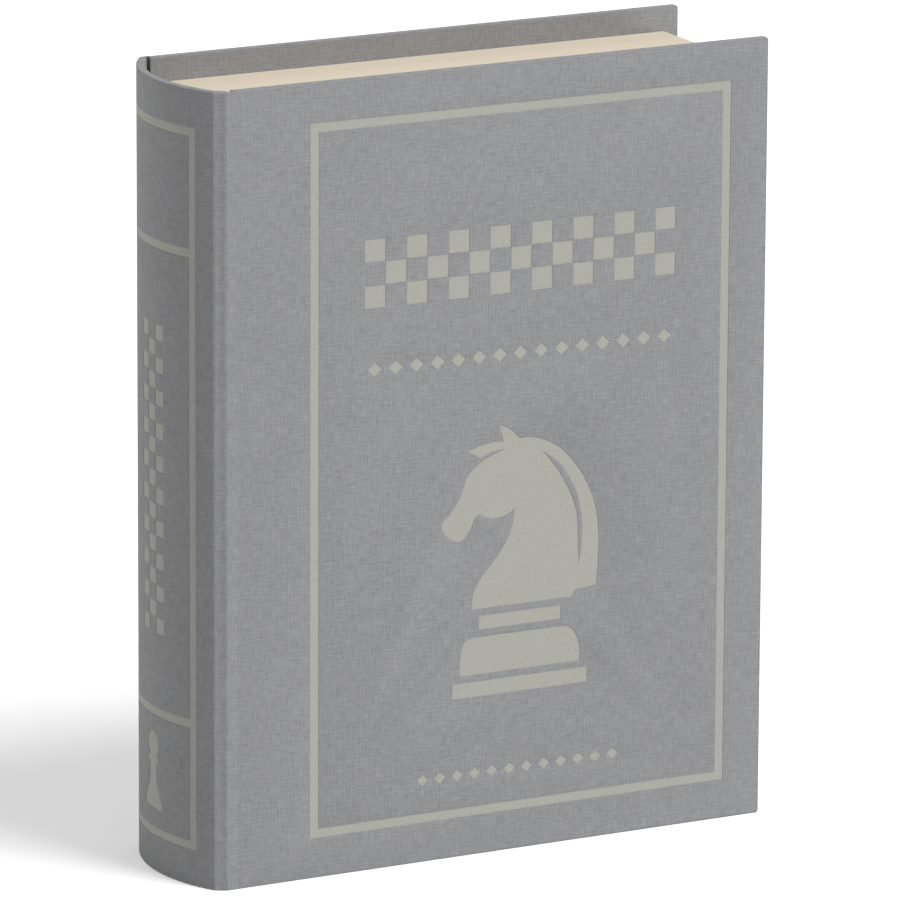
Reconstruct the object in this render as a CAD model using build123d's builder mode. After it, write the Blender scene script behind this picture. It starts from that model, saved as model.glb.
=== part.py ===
from build123d import *
import os
from math import sqrt

# A chess set in a box made like a cloth-bound book, standing upright on a shelf.
# X runs from the rounded spine to the fore-edge, Y from the front cover to the back
# cover, Z up. The origin is under the middle of the closed book.
# The tray is glued to the back cover. It holds a folding chess board, and behind the
# board the men stand on shelves in their opening order, held in notched racks.

# The closed case
case_height = 280.0
case_width = 222.0  # crown of the spine to the fore-edge of the covers
case_thickness = 67.0  # outer face of the front cover to outer face of the back cover
spine_radius = 60.0  # round back, measured on the cloth
spine_lean = 2.0  # centre of the round back, towards the front cover
shoulder_drop = 2.2  # shoulders of the spine to the faces of the covers
shoulder_width = 3.9  # front shoulder to the face of the front cover
shoulder_radius = 1.8
joint_radius = 2.0  # rounding between a shoulder and the face of a cover

# Cloth, boards and papers
cloth_thickness = 0.4
cover_board_thickness = 2.4
spine_board_thickness = 2.0
turn_in = 14.0  # cloth folded over on the inside of the boards
paper_margin = 0.3  # between a turn-in and the lining paper beside it
cover_corner_radius = 1.5
cloth_edge_radius = 0.5

# The two cloth joints, between spine and covers
joint_setback = 1.2  # spine corner to hinge axis
joint_width = 2.0  # hinge axis to the edge of the cover board
joint_gap = 0.2  # between the cloth of the spine and the cloth of a cover
hinge_stand_off = 0.15  # hinge axis outside the cloth

# The tray
head_square = 8.8  # covers stand out past the tray at head and tail
fore_edge_square = 6.0
tray_setback = 1.5  # spine corner to the tray
tray_wall = 3.0
tray_floor_thickness = 2.0
page_paper = 0.3
closing_gap = 0.3  # rim of the tray to the front cover

# Closing magnets in the fore-edge wall, and steel plates in the front board
magnet_length = 20.0
magnet_width = 1.8
magnet_depth = 7.0
plate_width = 8.0
plate_depth = 1.0
magnet_clearance = 0.1
magnet_spread = 0.56  # share of the tray's height between the two magnets

# The folding board
panel_core = 3.2
panel_face = 0.3
panel_back = 0.4
fold_gap = 0.4  # between the playing faces when folded
fold_edge_gap = 0.1  # edge of a panel to the fold axis
tape_thickness = 0.15
tape_width = 8.0
board_clearance = 0.3
board_headroom = 1.1  # folded board to the front cover
leaf_clearance = 0.8  # opening leaf to the opening cover
panel_corner_radius = 2.0
thumb_notch_width = 30.0
thumb_notch_depth = 2.0

# Shelves, racks and foam beds for the men
files = "abcdefgh"  # the board's eight files, a man behind each
shelf_thickness = 2.0
shelf_step = 3.0  # the shelves stand up beside the board and keep it in place
step_clearance = 0.4
pawn_headroom = 13.5
man_front_room = 2.0
rack_thickness = 5.0
officer_rack_rise = 10.5  # shelf to the underside of the rack
pawn_rack_rise = 6.5
rack_clearance = 0.4
mouth_pinch = 0.4  # the mouth of a notch is narrower than the waist on each side
bed_clearance = 0.3  # men to the foam bed behind them

# The men
turned_sides = 12
man_clearance = 1.1  # base of a king to the middle between two men
king_height = 58.0
queen_height = 53.0
bishop_height = 46.0
knight_height = 42.0
rook_height = 36.0
pawn_height = 31.0
minor_base_ratio = 0.92  # bishops, knights and rooks, of a king's base
pawn_base_ratio = 0.78
officer_waist_ratio = 0.5  # of a king's base
pawn_waist_ratio = 0.46  # of a pawn's base
plinth_height = 4.0
felt_thickness = 0.6
felt_margin = 0.8
cross_thickness = 2.2
merlon_slot = 2.4
well_depth = 4.3
mitre_slot = 1.2
knight_neck_thickness = 9.0
knight_narrowing = 4.0  # degrees on each side

# Planes and edges that several pieces share
back_y = case_thickness / 2
front_y = -back_y
fore_edge_x = case_width / 2
spine_crown_x = -fore_edge_x
spine_centre_x = spine_crown_x + spine_radius
shoulder_y = back_y - shoulder_drop
front_shoulder_x = spine_centre_x - sqrt(spine_radius**2 - (shoulder_y - spine_lean) ** 2)
back_shoulder_x = spine_centre_x - sqrt(spine_radius**2 - (shoulder_y + spine_lean) ** 2)
spine_corner_x = front_shoulder_x + shoulder_width
hinge_x = spine_corner_x + joint_setback
cover_board_x = hinge_x + joint_width
cover_thickness = 2 * cloth_thickness + cover_board_thickness
cover_inner_y = back_y - cover_thickness

tray_left = spine_corner_x + tray_setback
tray_right = fore_edge_x - fore_edge_square
tray_bottom = head_square
tray_top = case_height - head_square
tray_rim_y = closing_gap - cover_inner_y
tray_back_y = cover_inner_y
floor_y = tray_back_y - tray_floor_thickness
wall_right = tray_right - page_paper
wall_bottom = tray_bottom + page_paper
wall_top = tray_top - page_paper
inner_left = tray_left + tray_wall
inner_right = wall_right - tray_wall
inner_bottom = wall_bottom + tray_wall
inner_top = wall_top - tray_wall
inner_width = inner_right - inner_left
inner_height = inner_top - inner_bottom

panel_thickness = panel_core + panel_face + panel_back
fold_reach = panel_thickness + fold_gap / 2
fold_y = board_headroom + fold_reach - cover_inner_y
board_height = inner_height - 2 * board_clearance
panel_width = board_height / 2
board_left = hinge_x + hinge_stand_off + cover_thickness + fold_reach + leaf_clearance
board_right = board_left + panel_width
board_middle_z = (inner_bottom + inner_top) / 2

man_pitch = inner_width / len(files)
king_base = man_pitch / 2 - man_clearance
minor_base = minor_base_ratio * king_base
pawn_base = pawn_base_ratio * king_base
officer_waist = officer_waist_ratio * king_base
pawn_waist = pawn_waist_ratio * pawn_base
shelf_front_y = fold_y + fold_reach + board_clearance
bed_y = shelf_front_y + man_front_room + 2 * king_base + bed_clearance
man_y = bed_y - bed_clearance - king_base
file_x = {file: inner_left + (i + 0.5) * man_pitch for i, file in enumerate(files)}

pawn_row = pawn_height + felt_thickness + pawn_headroom
officer_row = (inner_height - 2 * pawn_row - 3 * shelf_thickness) / 2
row_names = ["light_officer", "light_pawn", "dark_pawn", "dark_officer"]
row_heights = [officer_row, pawn_row, pawn_row, officer_row]
row_bottoms = [
    inner_bottom + sum(row_heights[:i]) + i * shelf_thickness for i in range(len(row_heights))
]


def box_between(low, high, mode=Mode.ADD):
    """A block from its lowest corner to its highest corner."""
    size = [b - a for a, b in zip(low, high)]
    middle = [(a + b) / 2 for a, b in zip(low, high)]
    with Locations(tuple(middle)):
        Box(*size, mode=mode)


def write_part(builder, name):
    builder.part.label = name
    export_step(builder.part, f"parts/{name}.step")


os.makedirs("parts", exist_ok=True)


# Covers. A board is wrapped in cloth that turns in on three sides, and a lining paper
# fills the window between the turn-ins. The back cover mirrors the front cover.
cover_bottom = cloth_thickness
cover_top = case_height - cloth_thickness
board_fore_edge = fore_edge_x - cloth_thickness
board_outer_y = front_y + cloth_thickness
board_inner_y = board_outer_y + cover_board_thickness

magnet_x = inner_right + tray_wall / 2
magnet_offset = magnet_spread * (tray_top - tray_bottom) / 2
magnet_z = [board_middle_z - magnet_offset, board_middle_z + magnet_offset]


def magnet_pair(width, outer_y, inner_y, clearance=0.0, mode=Mode.ADD):
    """Two flat blocks, one above the other, or their pockets with a clearance."""
    half_width = width / 2 + clearance
    half_length = magnet_length / 2 + clearance
    for z in magnet_z:
        box_between(
            (magnet_x - half_width, outer_y, z - half_length),
            (magnet_x + half_width, inner_y, z + half_length),
            mode,
        )


def cover_board(with_plates):
    with BuildPart() as board:
        box_between(
            (cover_board_x, board_outer_y, cover_bottom),
            (board_fore_edge, board_inner_y, cover_top),
        )
        corners = board.edges().filter_by(Axis.Y).group_by(Axis.X)[-1]
        fillet(corners, cover_corner_radius - cloth_thickness)
        if with_plates:
            pocket_y = board_inner_y - plate_depth - magnet_clearance
            magnet_pair(plate_width, pocket_y, board_inner_y, magnet_clearance, Mode.SUBTRACT)
    return board


def cover_cloth():
    with BuildPart() as cloth:
        box_between(
            (hinge_x + joint_gap / 2, front_y, 0),
            (fore_edge_x, -cover_inner_y, case_height),
        )
        corners = cloth.edges().filter_by(Axis.Y).group_by(Axis.X)[-1]
        fillet(corners, cover_corner_radius)
        outline = cloth.faces().sort_by(Axis.Y)[0].edges()
        fillet(outline.sort_by(Axis.X)[1:], cloth_edge_radius)
        # the room for the board, open towards the spine
        with BuildSketch(Plane.XZ.offset(-board_outer_y)) as pocket:
            with Locations(((hinge_x + board_fore_edge) / 2, case_height / 2)):
                Rectangle(board_fore_edge - hinge_x, cover_top - cover_bottom)
            pocket_corners = pocket.vertices().group_by(Axis.X)[-1]
            fillet(pocket_corners, cover_corner_radius - cloth_thickness)
        extrude(amount=-cover_board_thickness, mode=Mode.SUBTRACT)
        # the window between the turn-ins
        box_between(
            (hinge_x, board_inner_y, turn_in),
            (fore_edge_x - turn_in, -cover_inner_y, case_height - turn_in),
            Mode.SUBTRACT,
        )
        # beside the joint only the outer layer of cloth goes on
        box_between(
            (hinge_x, board_outer_y, 0),
            (cover_board_x, -cover_inner_y, case_height),
            Mode.SUBTRACT,
        )
    return cloth


def cover_paper():
    with BuildPart() as paper:
        box_between(
            (cover_board_x, board_inner_y, turn_in + paper_margin),
            (
                fore_edge_x - turn_in - paper_margin,
                -cover_inner_y,
                case_height - turn_in - paper_margin,
            ),
        )
    return paper


def mirrored(builder):
    """The same piece on the back cover."""
    with BuildPart() as twin:
        mirror(builder.part, about=Plane.XZ)
    return twin


front_cover_cloth = cover_cloth()
front_lining_paper = cover_paper()
write_part(cover_board(with_plates=True), "front_cover_board")
write_part(front_cover_cloth, "front_cover_cloth")
write_part(front_lining_paper, "front_lining_paper")
write_part(mirrored(cover_board(with_plates=False)), "back_cover_board")
write_part(mirrored(front_cover_cloth), "back_cover_cloth")
write_part(mirrored(front_lining_paper), "back_lining_paper")

with BuildPart() as cover_plates:
    magnet_pair(plate_width, board_inner_y - plate_depth, board_inner_y)
write_part(cover_plates, "cover_plates")


# Spine. A curved board wrapped in cloth, with a paper lining inside. Every layer has
# the same round back, set in by its depth from the outer face.
board_depth = cloth_thickness
lining_depth = board_depth + spine_board_thickness
hollow_depth = lining_depth + cloth_thickness
spine_board_end_x = spine_corner_x
spine_cloth_end_x = hinge_x - joint_gap / 2


def round_back(depth, low_z, high_z, mode=Mode.ADD):
    """The room inside a layer of the spine, from its crown to the fore-edge."""
    front_shoulder = (front_shoulder_x, -shoulder_y)
    back_shoulder = (back_shoulder_x, shoulder_y)
    with BuildSketch(Plane.XY.offset(low_z)) as section:
        with BuildLine():
            ThreePointArc(front_shoulder, (spine_crown_x, -spine_lean), back_shoulder)
            Polyline(
                back_shoulder,
                (spine_corner_x, back_y),
                (fore_edge_x, back_y),
                (fore_edge_x, front_y),
                (spine_corner_x, front_y),
                front_shoulder,
            )
        make_face()
        if depth:
            offset(amount=-depth, kind=Kind.INTERSECTION, mode=Mode.REPLACE)
        joints = section.vertices().sort_by(Axis.X)[2:4]
        fillet(joints, max(joint_radius - depth, cloth_thickness))
        shoulder = section.vertices().sort_by(Axis.X)[0]
        fillet(shoulder, max(shoulder_radius - depth, cloth_thickness))
    extrude(section.sketch, amount=high_z - low_z, mode=mode)


def trim_from(x):
    """Cuts off what is past x."""
    box_between((x, front_y, 0), (fore_edge_x, back_y, case_height), Mode.SUBTRACT)


with BuildPart() as spine_board:
    round_back(board_depth, cover_bottom, cover_top)
    round_back(lining_depth, cover_bottom, cover_top, Mode.SUBTRACT)
    trim_from(spine_board_end_x)
write_part(spine_board, "spine_board")

# past the ends of the board there is only the outer layer of cloth
with BuildPart() as joint_room:
    round_back(board_depth, 0, case_height)
    box_between(
        (spine_board_end_x, front_y, 0), (fore_edge_x, back_y, case_height), Mode.INTERSECT
    )

with BuildPart() as spine_cloth:
    round_back(0, 0, case_height)
    round_back(board_depth, cover_bottom, cover_top, Mode.SUBTRACT)
    round_back(lining_depth, cover_bottom, turn_in)
    round_back(lining_depth, case_height - turn_in, cover_top)
    round_back(hollow_depth, 0, case_height, Mode.SUBTRACT)
    add(joint_room.part, mode=Mode.SUBTRACT)
    trim_from(spine_cloth_end_x)
write_part(spine_cloth, "spine_cloth")

with BuildPart() as spine_lining_paper:
    low_z = turn_in + paper_margin
    high_z = case_height - turn_in - paper_margin
    round_back(lining_depth, low_z, high_z)
    round_back(hollow_depth, low_z, high_z, Mode.SUBTRACT)
    trim_from(spine_board_end_x)
write_part(spine_lining_paper, "spine_lining_paper")


# Tray. A floor and four walls of board, with printed paper on the three outer sides
# that look like the cut edges of pages.
def tray_plate(name, low, high):
    with BuildPart() as plate:
        box_between(low, high)
        if name == "fore_edge_wall":
            pocket_y = tray_rim_y + magnet_depth + magnet_clearance
            magnet_pair(magnet_width, tray_rim_y, pocket_y, magnet_clearance, Mode.SUBTRACT)
    write_part(plate, name)


tray_plate("tray_floor", (tray_left, floor_y, wall_bottom), (wall_right, tray_back_y, wall_top))
tray_plate("head_wall", (tray_left, tray_rim_y, inner_top), (wall_right, floor_y, wall_top))
tray_plate("tail_wall", (tray_left, tray_rim_y, wall_bottom), (wall_right, floor_y, inner_bottom))
tray_plate(
    "spine_side_wall", (tray_left, tray_rim_y, inner_bottom), (inner_left, floor_y, inner_top)
)
tray_plate(
    "fore_edge_wall", (inner_right, tray_rim_y, inner_bottom), (wall_right, floor_y, inner_top)
)
tray_plate(
    "head_page_paper", (tray_left, tray_rim_y, wall_top), (tray_right, tray_back_y, tray_top)
)
tray_plate(
    "tail_page_paper", (tray_left, tray_rim_y, tray_bottom), (tray_right, tray_back_y, wall_bottom)
)
tray_plate(
    "fore_edge_page_paper", (wall_right, tray_rim_y, wall_bottom), (tray_right, tray_back_y, wall_top)
)

with BuildPart() as tray_magnets:
    magnet_pair(magnet_width, tray_rim_y, tray_rim_y + magnet_depth)
write_part(tray_magnets, "tray_magnets")


# Shelves. Each stands up beside the board at both ends, so that the board lies in a
# shallow recess across the three of them.
for i in range(1, len(row_names)):
    with BuildPart() as shelf:
        shelf_bottom = row_bottoms[i] - shelf_thickness
        box_between(
            (inner_left, shelf_front_y - shelf_step, shelf_bottom),
            (inner_right, floor_y, row_bottoms[i]),
        )
        box_between(
            (board_left - step_clearance, shelf_front_y - shelf_step, shelf_bottom),
            (board_right + step_clearance, shelf_front_y, row_bottoms[i]),
            Mode.SUBTRACT,
        )
    write_part(shelf, f"shelf_{i}")

# Foam beds behind the men, and foam racks whose notches close a little past the middle
# so that they hold a man by the waist.
for i, row in enumerate(row_names):
    is_pawn_row = "pawn" in row
    waist = pawn_waist if is_pawn_row else officer_waist
    rise = pawn_rack_rise if is_pawn_row else officer_rack_rise
    notch_radius = waist + rack_clearance
    mouth_reach = sqrt(notch_radius**2 - (waist - mouth_pinch) ** 2)
    with BuildPart() as foam_bed:
        box_between(
            (inner_left, bed_y, row_bottoms[i]),
            (inner_right, floor_y, row_bottoms[i] + row_heights[i]),
        )
    write_part(foam_bed, f"{row}_bed")
    with BuildPart() as rack:
        with BuildSketch(Plane.XY.offset(row_bottoms[i] + rise)):
            with Locations(((inner_left + inner_right) / 2, (man_y - mouth_reach + bed_y) / 2)):
                Rectangle(inner_width, bed_y - man_y + mouth_reach)
            with Locations([(x, man_y) for x in file_x.values()]):
                RegularPolygon(notch_radius, turned_sides, major_radius=False, mode=Mode.SUBTRACT)
        extrude(amount=rack_thickness)
    write_part(rack, f"{row}_rack")


# Folding board. Two panels, each a core between a playing face and a back, joined by a
# tape along the fold. Folded, the playing faces meet, and the base lies on the shelves.
def panel_layer(name, low_y, high_y, right=board_right, with_thumb_notch=False):
    notch_radius = (thumb_notch_width**2 / 4 + thumb_notch_depth**2) / (2 * thumb_notch_depth)
    left = board_left + fold_edge_gap
    with BuildPart() as layer:
        with BuildSketch(Plane.XZ.offset(-low_y)) as outline:
            with Locations(((left + right) / 2, board_middle_z)):
                Rectangle(right - left, board_height)
            if right == board_right:
                fillet(outline.vertices().group_by(Axis.X)[-1], panel_corner_radius)
            if with_thumb_notch:
                with Locations((right + notch_radius - thumb_notch_depth, board_middle_z)):
                    Circle(notch_radius, mode=Mode.SUBTRACT)
        extrude(amount=low_y - high_y)
    write_part(layer, name)


base_face_y = fold_y + fold_gap / 2
base_core_y = base_face_y + panel_face
base_back_y = base_core_y + panel_core
leaf_face_y = fold_y - fold_gap / 2
leaf_core_y = leaf_face_y - panel_face
leaf_back_y = leaf_core_y - panel_core
tape_right = board_left + fold_edge_gap + tape_width

panel_layer("base_panel_face", base_face_y, base_core_y)
panel_layer("base_panel_core", base_core_y, base_back_y)
panel_layer("base_panel_back", base_back_y, base_back_y + panel_back)
panel_layer("base_fold_tape", base_face_y - tape_thickness, base_face_y, tape_right)
panel_layer("leaf_panel_face", leaf_core_y, leaf_face_y, with_thumb_notch=True)
panel_layer("leaf_panel_core", leaf_back_y, leaf_core_y, with_thumb_notch=True)
panel_layer("leaf_panel_back", leaf_back_y - panel_back, leaf_back_y, with_thumb_notch=True)
panel_layer("leaf_fold_tape", leaf_face_y, leaf_face_y + tape_thickness, tape_right)


# Men. Each is turned to an outline of shares of its base radius and of its height, with
# flats in place of the round. Every officer has its waist at the height of the rack.
def turned(base, waist, rack_rise, height, upper):
    """A turned man: plinth, waist in the rack, and the upper outline of shares."""
    waist_low = rack_rise - felt_thickness - rack_clearance
    waist_high = waist_low + rack_thickness + 2 * rack_clearance
    right = [(base, 0), (base, plinth_height), (waist, waist_low), (waist, waist_high)]
    right += [(radius * base, share * height) for radius, share in upper]
    left = [(-radius, z) for radius, z in reversed(right)]
    for i in range(turned_sides // 2):
        with BuildSketch(Plane.XZ.rotated((0, 0, 360 * i / turned_sides))) as section:
            with BuildLine():
                Polyline(*right, *left, close=True)
            make_face()
        mode = Mode.INTERSECT if i else Mode.ADD
        extrude(section.sketch, amount=2 * base, both=True, mode=mode)


def pawn():
    with BuildPart() as man:
        upper = [
            (0.40, 0.60), (0.68, 0.64), (0.40, 0.68),
            (0.58, 0.77), (0.58, 0.88), (0.30, 1.0),
        ]  # fmt: skip
        turned(pawn_base, pawn_waist, pawn_rack_rise, pawn_height, upper)
    return man


def rook():
    with BuildPart() as man:
        upper = [(0.48, 0.66), (0.80, 0.78), (0.80, 1.0)]
        turned(minor_base, officer_waist, officer_rack_rise, rook_height, upper)
        # the well in the tower, and the gaps in its parapet
        with BuildSketch(Plane.XY.offset(rook_height)):
            RegularPolygon(0.52 * minor_base, turned_sides)
            Rectangle(2 * minor_base, merlon_slot)
            Rectangle(merlon_slot, 2 * minor_base)
        extrude(amount=-well_depth, mode=Mode.SUBTRACT)
    return man


def bishop():
    with BuildPart() as man:
        upper = [
            (0.36, 0.60), (0.66, 0.63), (0.36, 0.67),
            (0.50, 0.77), (0.42, 0.87), (0.16, 0.96), (0.12, 1.0),
        ]  # fmt: skip
        turned(minor_base, officer_waist, officer_rack_rise, bishop_height, upper)
        # the slot of the mitre, cut down into its shoulder
        with Locations(Location((0.40 * minor_base, 0, 0.87 * bishop_height), (0, -35, 0))):
            Box(0.7 * minor_base, 2 * minor_base, mitre_slot, mode=Mode.SUBTRACT)
    return man


def queen():
    with BuildPart() as man:
        upper = [
            (0.38, 0.62), (0.70, 0.65), (0.38, 0.69), (0.66, 0.90),
            (0.42, 0.93), (0.16, 0.95), (0.16, 1.0),
        ]  # fmt: skip
        turned(king_base, officer_waist, officer_rack_rise, queen_height, upper)
    return man


def king():
    crown_top = 0.89
    with BuildPart() as man:
        upper = [(0.38, 0.60), (0.70, 0.63), (0.38, 0.67), (0.62, 0.84), (0.20, crown_top)]
        turned(king_base, officer_waist, officer_rack_rise, king_height, upper)
        # the cross, its arms a share of its own height
        cross_height = (1 - crown_top) * king_height
        with BuildSketch(Plane.XZ.offset(-cross_thickness / 2)):
            with Locations((0, king_height - 0.55 * cross_height)):
                Rectangle(cross_thickness, 1.1 * cross_height)
            with Locations((0, king_height - 0.4 * cross_height)):
                Rectangle(0.85 * cross_height, cross_thickness)
        extrude(amount=cross_thickness)
    return man


def knight():
    neck_z = officer_rack_rise - felt_thickness + rack_thickness + rack_clearance
    head_height = knight_height - neck_z

    def at(across, up):
        return (across * minor_base, neck_z + up * head_height)

    # the head in profile: mane, ear, nose, muzzle, throat and chest
    with BuildPart() as head:
        with BuildSketch(Plane.XZ):
            with BuildLine():
                ThreePointArc(at(0.62, 0), at(0.86, 0.46), at(0.16, 0.94))
                Polyline(
                    at(0.16, 0.94), at(0.06, 1.0), at(-0.06, 0.88), at(-0.34, 0.78),
                    at(-0.84, 0.46), at(-0.80, 0.34), at(-0.60, 0.30), at(-0.30, 0.44),
                )  # fmt: skip
                ThreePointArc(at(-0.30, 0.44), at(-0.12, 0.30), at(-0.50, 0))
                Line(at(-0.50, 0), at(0.62, 0))
            make_face()
        extrude(amount=knight_neck_thickness, both=True)
        # seen from the front it narrows from the neck to the ears
        with BuildSketch(Plane.YZ):
            with Locations((0, (neck_z + knight_height) / 2)):
                Trapezoid(knight_neck_thickness, head_height, 90 - knight_narrowing)
        extrude(amount=2 * minor_base, both=True, mode=Mode.INTERSECT)
    with BuildPart() as man:
        turned(minor_base, officer_waist, officer_rack_rise, neck_z, [])
        add(head.part)
    return man


def man_group(name, man, base, row, places):
    """The same man behind each of these files, and where its felts go."""
    shelf_z = row_bottoms[row_names.index(row)]
    spots = [(file_x[file], man_y, shelf_z + felt_thickness) for file in places]
    with BuildPart() as group:
        with Locations(*spots):
            add(man.part)
    write_part(group, name)
    return [(x, y, base) for x, y, _ in spots]


officers = {
    "rooks": (rook(), minor_base, "ah"),
    "knights": (knight(), minor_base, "bg"),
    "bishops": (bishop(), minor_base, "cf"),
    "queen": (queen(), king_base, "d"),
    "king": (king(), king_base, "e"),
}
pawns = pawn()

for side in ("light", "dark"):
    felts = {f"{side}_officer": [], f"{side}_pawn": []}
    for kind, (man, base, places) in officers.items():
        felts[f"{side}_officer"] += man_group(f"{side}_{kind}", man, base, f"{side}_officer", places)
    felts[f"{side}_pawn"] = man_group(
        f"{side}_pawns", pawns, pawn_base, f"{side}_pawn", files
    )
    with BuildPart() as felt_pads:
        for row, spots in felts.items():
            for x, y, base in spots:
                with BuildSketch(Plane.XY.offset(row_bottoms[row_names.index(row)])):
                    with Locations((x, y)):
                        RegularPolygon(base - felt_margin, turned_sides)
                extrude(amount=felt_thickness)
    write_part(felt_pads, f"{side}_men_felts")
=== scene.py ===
from math import asin, atan2, copysign, cos, floor, pi, radians, sin, sqrt, tan

import bmesh
import bpy
from mathutils import Matrix, Vector


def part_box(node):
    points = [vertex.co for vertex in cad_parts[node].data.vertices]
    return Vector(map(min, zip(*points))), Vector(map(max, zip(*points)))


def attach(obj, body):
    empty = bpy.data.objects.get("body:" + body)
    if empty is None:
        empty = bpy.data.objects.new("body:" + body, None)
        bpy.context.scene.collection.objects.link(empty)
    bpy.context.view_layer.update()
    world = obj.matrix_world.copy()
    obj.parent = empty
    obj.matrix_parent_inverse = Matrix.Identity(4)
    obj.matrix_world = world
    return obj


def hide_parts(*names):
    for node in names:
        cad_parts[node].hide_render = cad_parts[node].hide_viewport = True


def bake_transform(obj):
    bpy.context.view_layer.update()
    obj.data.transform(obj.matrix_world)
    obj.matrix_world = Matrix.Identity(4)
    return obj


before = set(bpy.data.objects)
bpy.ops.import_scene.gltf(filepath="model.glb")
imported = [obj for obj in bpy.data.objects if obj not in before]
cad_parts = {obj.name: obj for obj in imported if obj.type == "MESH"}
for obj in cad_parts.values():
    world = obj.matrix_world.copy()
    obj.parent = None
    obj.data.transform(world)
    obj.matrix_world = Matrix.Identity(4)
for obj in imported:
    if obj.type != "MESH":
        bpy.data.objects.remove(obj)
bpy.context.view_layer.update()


# Book cloth. Grey linen in plain weave, filled and calendered on the back, is glued over
# the boards of both covers and of the spine. Its uneven threads give a mottled grey with
# short pale and dark streaks along and across.
MM = 0.001
CLOTH = 0.4
THREAD_SPACING = 0.9  # real threads lie 0.4 apart, too fine to show here, so drawn coarser
SLUB_LENGTH = 4.5
SLUB_WIDTH = 0.7
CLOTH_CLOUD = 20.0
WAVE_BANDS = pi / 10  # a wave texture's scale for bands one unit apart


def linear(code):
    """An sRGB hex colour as linear red, green, blue and alpha."""
    shares = [int(code[i : i + 2], 16) / 255 for i in (0, 2, 4)]
    return tuple(s / 12.92 if s <= 0.04045 else ((s + 0.055) / 1.055) ** 2.4 for s in shares) + (1.0,)


def new_material(name):
    material = bpy.data.materials.new(name)
    material.use_nodes = True
    material.node_tree.nodes.clear()
    return material


def add_node(material, kind, inputs, **settings):
    """Adds a node with its settings. An input is a value, a node, which is linked from its
    first output, or a (node, output)."""
    node = material.node_tree.nodes.new("ShaderNode" + kind)
    for name, value in settings.items():
        setattr(node, name, value)
    for name, value in inputs.items():
        if isinstance(value, bpy.types.Node):
            value = (value, 0)
        if isinstance(value, tuple) and isinstance(value[0], bpy.types.Node):
            material.node_tree.links.new(value[0].outputs[value[1]], node.inputs[name])
        else:
            node.inputs[name].default_value = value
    return node


def finish_in_two_tones(material, tone, dark, pale, relief, values, strength, depth):
    """Ends a material in its surface: two hex colours mixed by a tone, a relief with its
    strength and its depth in mm, and the shader's own values."""
    mixed = {"Factor": tone, 6: linear(dark), 7: linear(pale)}
    colour = add_node(material, "Mix", mixed, data_type="RGBA")
    bump = add_node(material, "Bump", {"Height": relief, "Strength": strength, "Distance": depth * MM})
    surface = {"Base Color": (colour, 2), "IOR": 1.5, "Normal": bump, **values}
    shader = add_node(material, "BsdfPrincipled", surface)
    add_node(material, "OutputMaterial", {"Surface": shader})


def book_cloth(name, dark, pale, coordinate):
    """Woven cloth, on a piece's own flat coordinates in mm, or on those of a CAD node."""
    cloth = new_material(name)
    place = add_node(cloth, "TexCoord", {})
    if coordinate == "UV":
        flat = (place, "UV")
    else:
        upright = {"Vector": (place, "Object"), "Rotation": (pi / 2, 0, 0), "Scale": (1 / MM,) * 3}
        flat = add_node(cloth, "Mapping", upright)
    threads = []
    slubs = []
    for direction, stretch in (
        ("X", (1 / SLUB_WIDTH, 1 / SLUB_LENGTH, 1)),
        ("Y", (1 / SLUB_LENGTH, 1 / SLUB_WIDTH, 1)),
    ):
        thread = {
            "Vector": flat, "Scale": WAVE_BANDS / THREAD_SPACING,
            "Distortion": 1.2, "Detail": 2.0, "Detail Scale": 1.5,
        }  # fmt: skip
        threads.append(add_node(cloth, "TexWave", thread, bands_direction=direction))
        along = add_node(cloth, "Mapping", {"Vector": flat, "Scale": stretch})
        slub = {"Vector": along, "Scale": 1.0, "Detail": 2.0}
        slubs.append(add_node(cloth, "TexNoise", slub))
    both_slubs = {0: slubs[0], 1: slubs[1]}
    both_slubs = add_node(cloth, "Math", both_slubs, operation="ADD")
    clouds = add_node(cloth, "TexNoise", {"Vector": flat, "Scale": 1 / CLOTH_CLOUD, "Detail": 3.0})
    cloudy = {0: clouds, 1: 0.25, 2: both_slubs}
    cloudy = add_node(cloth, "Math", cloudy, operation="MULTIPLY_ADD")
    tone = add_node(cloth, "MapRange", {"Value": cloudy, "From Min": 0.55, "From Max": 1.7})
    weave = {0: (threads[0], "Fac"), 1: (threads[1], "Fac")}
    weave = add_node(cloth, "Math", weave, operation="MULTIPLY")
    relief = {0: weave, 1: 0.8, 2: both_slubs}
    relief = add_node(cloth, "Math", relief, operation="MULTIPLY_ADD")
    linen = {
        "Roughness": 0.88, "Specular IOR Level": 0.25, "Sheen Weight": 0.15, "Sheen Roughness": 0.5,
    }  # fmt: skip
    finish_in_two_tones(cloth, tone, dark, pale, relief, linen, strength=0.35, depth=0.25)
    return cloth


grey_linen = book_cloth("grey_linen_book_cloth", "828384", "A5A5A7", "UV")


# Front cover. A grey board with the cloth turned in over head, tail and fore-edge, mitred at
# the corners. The cloth is one skin, from the front face over the edges to the turn-in's cut
# edge. A sage lining paper fills the window, and two steel plates are let into the board.
COVER_CORNER = 1.1
SHARPEST_CORNER = 0.05
CORNER_STEPS = 6
EDGE_ROUND = 0.5
EDGE_STEPS = 4
PAPER_MARGIN = 0.3
STRIP_ON_BOARD = 0.8  # how far the joint strip reaches over the board
PAPER_CLOUD = 25.0
ROLLED_WIDTH = 0.25  # faint streaks that rolling leaves in steel, drawn coarser than they are
ROLLED_LENGTH = 5.0
BOARD_END_CLOTH = 0.25
STAMP_EDGE = 0.09  # rounding of the cloth round a stamped figure, half its depth
MITRE_LAP = 0.15
MITRE_SHIFT = 0.5
MITRE_SINK = 0.05


def box_of(node):
    """The low and the high corner of a CAD node, in mm."""
    return [corner / MM for corner in map(Vector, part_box(node))]


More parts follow.
